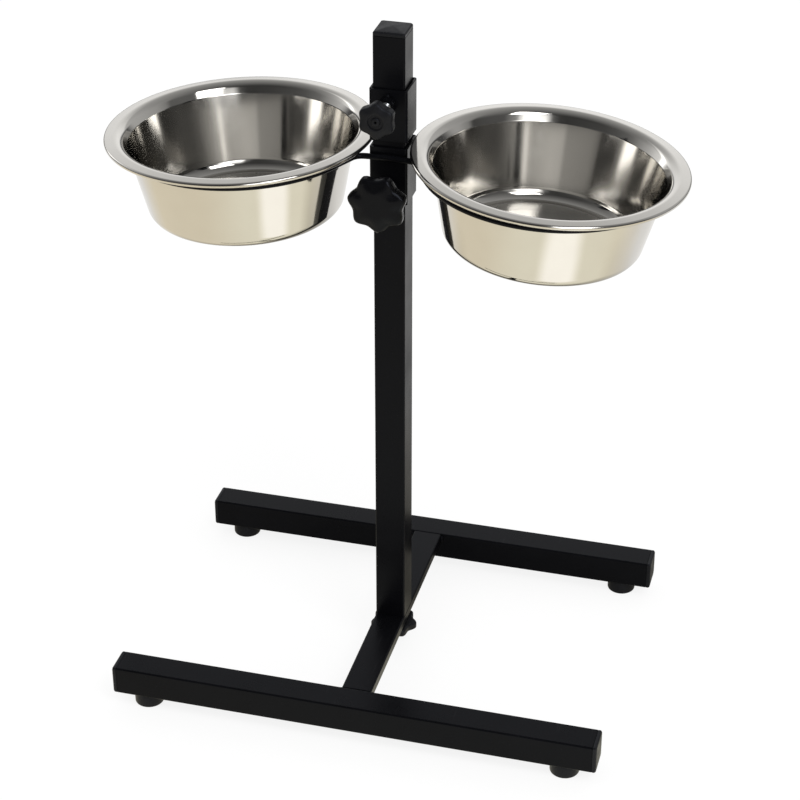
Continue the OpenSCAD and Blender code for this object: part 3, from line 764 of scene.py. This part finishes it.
def drop(centre, radius, height, steps=8, sides=24):
    """Outlines of a lumpy half ball of weld that stands on z = 0."""
    outlines = []
    for i in range(steps + 1):
        lift = math.radians(90 * i / steps)
        outlines.append([(
            centre[0] + radius * math.cos(lift) * (1 + DROP_LUMPS * math.sin(3 * a + 1)) * math.cos(a),
            centre[1] + radius * math.cos(lift) * (1 + DROP_LUMPS * math.sin(2 * a)) * math.sin(a),
            height * math.sin(lift)) for a in (2 * math.pi * j / sides for j in range(sides))])
    return outlines, False


nut_corner = NUT_FLATS / 2 / math.cos(math.pi / 6)
for clamp in ("lower", "upper"):
    face = middle_of(f"{clamp}_nut")
    face.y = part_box(f"{clamp}_nut")[1].y
    at = Matrix.Translation(face) @ FRONTWARDS
    outlines = [
        hexagon(nut_corner, 0.0),
        hexagon(nut_corner, NUT_HEIGHT - NUT_CHAMFER / 2),
        hexagon(nut_corner - NUT_CHAMFER, NUT_HEIGHT),
        circle(BORE_R + BORE_CHAMFER, NUT_HEIGHT, NUT_STEPS),
        circle(BORE_R, NUT_HEIGHT - BORE_CHAMFER, NUT_STEPS),
        circle(BORE_R, 0.0, NUT_STEPS),
    ]
    stand_for(build(f"{clamp}_weld_nut", [(outlines, True)], black_coat), f"{clamp}_nut", at=at)
    drops = [drop((0, up * DROP_OUT), DROP_R, DROP_HEIGHT) for up in (-1, 1)]
    stand_for(build(f"{clamp}_nut_weld_drops", drops, black_coat), f"{clamp}_nut_welds", at=at)

# %% [markdown]
# The studs are M8 threaded rod. Their thread shows between nut and knob, so it is real geometry: rings
# along the rod whose radius follows the thread's saw tooth, turned a little further on each ring.

# %% Threaded studs
STUD_R, THREAD_PITCH, THREAD_DEPTH = 4.0, 1.25, 0.62
RINGS_PER_PITCH, STUD_SIDES = 8, 32
STUD_CHAMFER = 0.9


def threaded_rod(length):
    """Outlines of a threaded rod with chamfered ends, from z = 0 up."""
    count = int(round(length / THREAD_PITCH * RINGS_PER_PITCH))
    outlines = []
    for i in range(count + 1):
        height = length * i / count
        limit = STUD_R - STUD_CHAMFER + min(height, length - height, STUD_CHAMFER)
        outline = []
        for j in range(STUD_SIDES):
            turn = j / STUD_SIDES
            tooth = abs(2 * ((height / THREAD_PITCH - turn) % 1) - 1)
            r = min(STUD_R - THREAD_DEPTH * tooth, limit)
            outline.append((r * math.cos(2 * math.pi * turn), r * math.sin(2 * math.pi * turn), height))
        outlines.append(outline)
    return outlines, False


for clamp in ("lower", "upper", "base"):
    node = f"{clamp}_stud"
    low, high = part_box(node)
    place = middle_of(node)
    if clamp == "base":
        place.z = low.z
        at, length = Matrix.Translation(place), high.z - low.z
    else:
        place.y = high.y
        at, length = Matrix.Translation(place) @ FRONTWARDS, high.y - low.y
    stand_for(build(f"{clamp}_threaded_stud", [threaded_rod(length / MM)], zinc, sharp=70), node, at=at)

# %% [markdown]
# Star knobs are moulded with finger hollows between their lobes. Seen from the front a knob is a circle
# whose radius dips smoothly between lobes, so one formula gives the outline. It is carried from a round
# hub at the back over soft edges to a domed front. The small upper knob has a ring-shaped recess with a
# boss and a pin hole in the middle of its front.

# %% Star outlines
KNOB_STEPS = 168
LOBE_SHAPE = 0.85


def star(radius, lobes, hollow, turn):
    """Radius of a star at each step round it."""
    radii = []
    for i in range(KNOB_STEPS):
        angle = 2 * math.pi * i / KNOB_STEPS - math.radians(turn)
        dip = (0.5 - 0.5 * math.cos(lobes * angle)) ** LOBE_SHAPE
        radii.append(radius - hollow * dip)
    return radii


def star_ring(radii, blend, inset, round_r, height):
    """Outline between a circle of radius round_r, at blend 0, and the star less inset, at blend 1."""
    outline = []
    for i, r in enumerate(radii):
        angle = 2 * math.pi * i / KNOB_STEPS
        reach = (1 - blend) * round_r + blend * (r - inset)
        outline.append((reach * math.cos(angle), reach * math.sin(angle), height))
    return outline


print("steps round a knob:", KNOB_STEPS)

# %% Knobs from back to front
EDGE_STEPS = 6
HUB_CHAMFER, HUB_FILLET, HUB_KNEE = 0.6, 1.0, 0.3
# Shares of a knob's edge radius: how far in its back starts to be flat, and the radius of its back edge
BACK_FLAT, BACK_EDGE = 1.6, 0.8


def knob_outlines(radius, thick, lobes, hollow, turn, hub_r, hub, edge, dome, middle):
    """A knob from its back, at z = 0, to its front; middle lists radius and height inside the dome."""
    radii = star(radius, lobes, hollow, turn)
    front = hub + thick
    rows = [(0, 0, 0.0, 0.0), (0, 0, hub_r - HUB_CHAMFER, 0.0), (0, 0, hub_r, HUB_CHAMFER),
            (0, 0, hub_r, hub - HUB_FILLET), (0, 0, hub_r + HUB_KNEE, hub - HUB_KNEE),
            (0, 0, hub_r + HUB_FILLET, hub), (1, BACK_FLAT * edge, 0.0, hub)]
    back_edge = BACK_EDGE * edge
    for i in range(EDGE_STEPS + 1):
        a = math.radians(90 * i / EDGE_STEPS)
        rows.append((1, back_edge * (1 - math.sin(a)), 0.0, hub + back_edge * (1 - math.cos(a))))
    shoulder = front - dome - edge
    for i in range(EDGE_STEPS + 1):
        a = math.radians(90 * i / EDGE_STEPS)
        rows.append((1, edge * (1 - math.cos(a)), 0.0, shoulder + edge * math.sin(a)))
    inner = middle[0][0]
    for i in range(1, EDGE_STEPS + 1):
        way = i / EDGE_STEPS
        rows.append((1 - way, edge, inner, front - dome * (1 - math.sin(math.radians(90 * way)))))
    rows += [(0, 0, r, z) for r, z in middle]
    return [star_ring(radii, *row) for row in rows], False


print("steps over a knob's edge:", EDGE_STEPS)

# %% Star knobs
KNOBS = {
    "lower": dict(radius=25.0, thick=13.0, lobes=7, hollow=3.6, turn=16.7, hub_r=12.0, hub=8.0, edge=4.0,
                  dome=2.2, middle=[(9.0, 21.0), (4.0, 20.9), (0.0, 20.85)]),
    "upper": dict(radius=15.5, thick=11.0, lobes=6, hollow=2.2, turn=30.0, hub_r=7.5, hub=5.0, edge=2.4,
                  dome=1.0, middle=[(7.0, 16.0), (6.6, 15.8), (6.3, 14.6), (3.9, 14.5), (3.5, 15.6),
                                    (3.1, 15.9), (1.3, 15.9), (1.0, 15.6), (1.0, 12.2), (0.0, 12.2)]),
    "base": dict(radius=21.5, thick=8.0, lobes=7, hollow=3.6, turn=0.0, hub_r=7.0, hub=3.0, edge=2.2,
                 dome=0.8, middle=[(10.4, 11.0), (9.6, 11.4), (8.2, 13.9), (7.6, 14.5), (0.0, 14.5)]),
}
for clamp, sizes in KNOBS.items():
    back_of_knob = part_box(f"{clamp}_knob")[1]
    if clamp == "base":
        at = Matrix.Translation((0, 0, back_of_knob.z)) @ Matrix.Rotation(math.pi, 4, "X")
    else:
        stud_height = middle_of(f"{clamp}_stud").z
        at = Matrix.Translation((0, back_of_knob.y, stud_height)) @ FRONTWARDS
    plastic = gloss_plastic if clamp == "lower" else black_plastic
    piece = build(f"{clamp}_star_knob", [knob_outlines(**sizes)], plastic, sharp=45)
    stand_for(piece, f"{clamp}_knob", at=at)

# %% [markdown]
# The frame is two bent wires, one for each bowl. Each starts in the middle of the collar's front face,
# bends away, runs straight, goes round its ring, and comes back to the collar's rear face. In the ring's
# own plane that is lines and arcs, so points along it come from a few angles, and a round outline is
# swept along them. Each ring droops a little from its weld, the right one more, and its arms climb a
# little on the way, as bent wire never comes out quite level.

# %% Route of a wire
WIRE_R, WIRE_SIDES = 2.5, 24
WAIST_BELOW_COLLAR, WAIST_HALF, WAIST_BEND = 7.2, 19.0, 10.0
RING_R, RING_OFFSET = 101.3, 128.5
BEND_STEPS, RUN_STEPS, RING_STEPS = 12, 16, 120
# Gaps from a wire to the collar, and from the middle of its ends to the middle of the stand
WIRE_GAP, WIRE_ENDS = 0.02, 0.02

collar_top = node_box("lower_collar")[1]
waist_z = collar_top.z - WAIST_BELOW_COLLAR
waist_y = collar_top.y + WIRE_R + WIRE_GAP
reach = Vector((RING_OFFSET - WAIST_HALF, waist_y + WAIST_BEND))
run_turn = math.atan2(reach.y, reach.x) - math.asin((RING_R + WAIST_BEND) / reach.length)
run_end = RING_OFFSET + RING_R * math.sin(run_turn)


def on_arc(centre, radius, heading):
    """A point on an arc that is run through anticlockwise, with its heading."""
    return centre + radius * Vector((math.sin(heading), -math.cos(heading))), heading


def wire_way():
    """Points and headings along one wire, in its ring's plane."""
    bend = Vector((WAIST_HALF, -waist_y - WAIST_BEND))
    ring = Vector((RING_OFFSET, 0))
    arm = [(Vector((WIRE_ENDS, -waist_y)), 0.0)]
    arm += [on_arc(bend, -WAIST_BEND, run_turn * i / BEND_STEPS) for i in range(BEND_STEPS + 1)]
    start, end = arm[-1][0], on_arc(ring, RING_R, run_turn)[0]
    arm += [(start.lerp(end, i / RUN_STEPS), run_turn) for i in range(1, RUN_STEPS)]
    swing = math.pi - 2 * run_turn
    loop = [on_arc(ring, RING_R, run_turn + swing * i / RING_STEPS) for i in range(RING_STEPS + 1)]
    return arm + loop + [(Vector((p.x, -p.y)), math.pi - h) for p, h in reversed(arm)]


route = wire_way()
print("points along a wire:", len(route))

# %% Bent wires
DROOP = {"left": 2.4, "right": 3.4}
WIRE_RISE = 0.8


def ring_plane(hand):
    """From a ring's own plane, x outwards and z up, to the stand."""
    mirror = Matrix.Diagonal((SIGN[hand], 1, 1, 1))
    droop = Matrix.Rotation(math.radians(SIGN[hand] * DROOP[hand]), 4, "Y")
    return Matrix.Translation((0, 0, waist_z)) @ droop @ mirror


def climb(x):
    """Height of a wire over the plane of the waist, x millimetres out from the post."""
    way = min(1.0, max(0.0, (x - WAIST_HALF) / (run_end - WAIST_HALF)))
    return WIRE_RISE * way * way * (3 - 2 * way)


for hand in SIGN:
    outlines = []
    for point, heading in route:
        across = Vector((-math.sin(heading), math.cos(heading)))
        outlines.append([])
        for j in range(WIRE_SIDES):
            a = 2 * math.pi * j / WIRE_SIDES
            side = point + WIRE_R * math.cos(a) * across
            up = WIRE_R * math.sin(a) + climb(point.x)
            outlines[-1].append(ring_plane(hand) @ Vector((side.x, side.y, up)))
    stand_for(build(f"{hand}_ring_wire", [(outlines, False)], black_coat, sharp=60), f"{hand}_ring")

# %% Fillets under the wire
FILLET_R, FILLET_FROM, FILLET_TO = 1.35, 1.3, 13.8
FILLET_IN, FILLET_BELOW = 1.1, 2.1

fillets = []
for hand in SIGN:
    for side in (-1, 1):
        y = side * (waist_y - FILLET_IN)
        ends = [ring_plane(hand) @ Vector((x, y, -FILLET_BELOW)) for x in (FILLET_FROM, FILLET_TO)]
        fillets.append(bead(*ends, FILLET_R))
stand_for(build("ring_weld_fillets", fillets, black_coat), "ring_welds")

# %% [markdown]
# A bowl is one disc of sheet that is drawn into shape, so it is drawn here the same way: one line from
# the middle of the floor up the wall, over the sloped shoulder, along the rim and round its rolled edge.
# Corners of that line get their bending radii, the line is moved by the sheet's thickness for the outside,
# and both are turned round the bowl's axis. The wall inside gets the lathe-polished finish, the floor the
# satin one, and the corner between them, the shoulder, the rim and the outside the mirror finish. The
# bowls sit a little outwards in their rings, and the right one a little crooked, higher at the post.

# %% Bent and moved lines
BEND_DEGREES = 7.5


def bent_line(corners):
    """The line through corners with each corner rounded to its radius."""
    line = []
    for i, (r, z, bend) in enumerate(corners):
        here = Vector((r, z))
        if bend == 0:
            line.append(here)
            continue
        to_last = (Vector(corners[i - 1][:2]) - here).normalized()
        to_next = (Vector(corners[i + 1][:2]) - here).normalized()
        half_angle = to_last.angle(to_next) / 2
        centre = here + (to_last + to_next).normalized() * bend / math.sin(half_angle)
        first = here + to_last * bend / math.tan(half_angle) - centre
        swing = math.pi - 2 * half_angle
        if first.x * to_next.y - first.y * to_next.x < 0:
            swing = -swing
        steps = max(2, math.ceil(math.degrees(abs(swing)) / BEND_DEGREES))
        line += [centre + Matrix.Rotation(swing * k / steps, 2) @ first for k in range(steps + 1)]
    return line


def moved_right(line, distance):
    """The line moved to its right-hand side by a distance."""
    moved = []
    for i, point in enumerate(line):
        before = line[max(i - 1, 0)]
        after = line[min(i + 1, len(line) - 1)]
        ahead = (after - before).normalized()
        moved.append(Vector((max(point.x + ahead.y * distance, 0.0), point.y - ahead.x * distance)))
    return moved


print("a bend has a point for every", BEND_DEGREES, "degrees")

# %% Line of a bowl
SHEET = 0.8
RIM_R, RIM_ROLL, ROLL_END, ROLL_STEPS = 114.2, 2.0, -150, 16
RIM_Z, EDGE_Z, SHOULDER_Z, RAISED_Z, FLOOR_Z = -0.10, -1.25, -9.4, -73.0, -74.2
# Radius, height and bending radius at each corner of the inner line
BOWL_CORNERS = (
    (0.0, RAISED_Z, 0.0), (56.0, RAISED_Z, 2.5), (58.2, FLOOR_Z, 2.5), (80.55, FLOOR_Z, 12.0),
    (95.0, SHOULDER_Z, 3.0), (100.6, RIM_Z, 9.0), (RIM_R - RIM_ROLL, EDGE_Z, 0.0),
)

top_line = bent_line(BOWL_CORNERS)
roll_middle = (RIM_R - RIM_ROLL, EDGE_Z - RIM_ROLL)
top_line += [Vector(p) for p in arc(roll_middle, RIM_ROLL, 90, ROLL_END, ROLL_STEPS)[1:]]
under_line = moved_right(top_line, SHEET)
print("points from the middle to the rim's rolled end:", len(top_line))

# %% Bowls
BOWL_STEPS = 224
BOWL_OFFSET, RIM_ABOVE_WIRE = 131.2, 10.0
BOWL_DROOP = {"left": 2.4, "right": 4.5}
BOWL_RISE = {"left": 0.8, "right": 5.2}
TURNED, MIRROR, SATIN = range(3)
# The satin floor's edge, the foot and the head of the turned wall, and the slope that counts as inside
SATIN_R, WALL_FOOT_Z, WALL_HEAD_Z, FACES_UP = 69.5, -63.0, SHOULDER_Z - 1, 0.5

for hand in SIGN:
    outlines = [circle(p.x, p.y, BOWL_STEPS) for p in top_line + under_line[::-1]]
    bowl = build(f"{hand}_drawn_bowl", [(outlines, False)], turned_steel, sharp=70)
    bowl.data.materials.append(mirror_steel)
    bowl.data.materials.append(satin_steel)
    for face in bowl.data.polygons:
        centre, normal = face.center / MM, face.normal
        inside = normal.x * centre.x + normal.y * centre.y < 0 or normal.z > FACES_UP
        if not inside:
            face.material_index = MIRROR
        elif math.hypot(centre.x, centre.y) < SATIN_R:
            face.material_index = SATIN
        else:
            face.material_index = TURNED if WALL_FOOT_Z <= centre.z <= WALL_HEAD_Z else MIRROR
    tilt = Matrix.Rotation(math.radians(SIGN[hand] * BOWL_DROOP[hand]), 4, "Y")
    waist = Matrix.Translation((0, 0, waist_z * MM))
    seat = Vector((SIGN[hand] * BOWL_OFFSET, 0, BOWL_RISE[hand] + RIM_ABOVE_WIRE)) * MM
    stand_for(bowl, f"{hand}_bowl", at=waist @ tilt @ Matrix.Translation(seat))

# %% [markdown]
# The threaded plate is shut inside the foot of the post, so its own mesh will do. It gets the zinc finish.

# %% Plate in the post
plate = frame["nodes"]["post_plate_nut"]
plate.data.materials.clear()
plate.data.materials.append(zinc)
print("plate faces:", len(plate.data.polygons))

# %% [markdown]
# Last, the bounds of the finished stand are found.

# %% Size and finish
low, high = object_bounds()
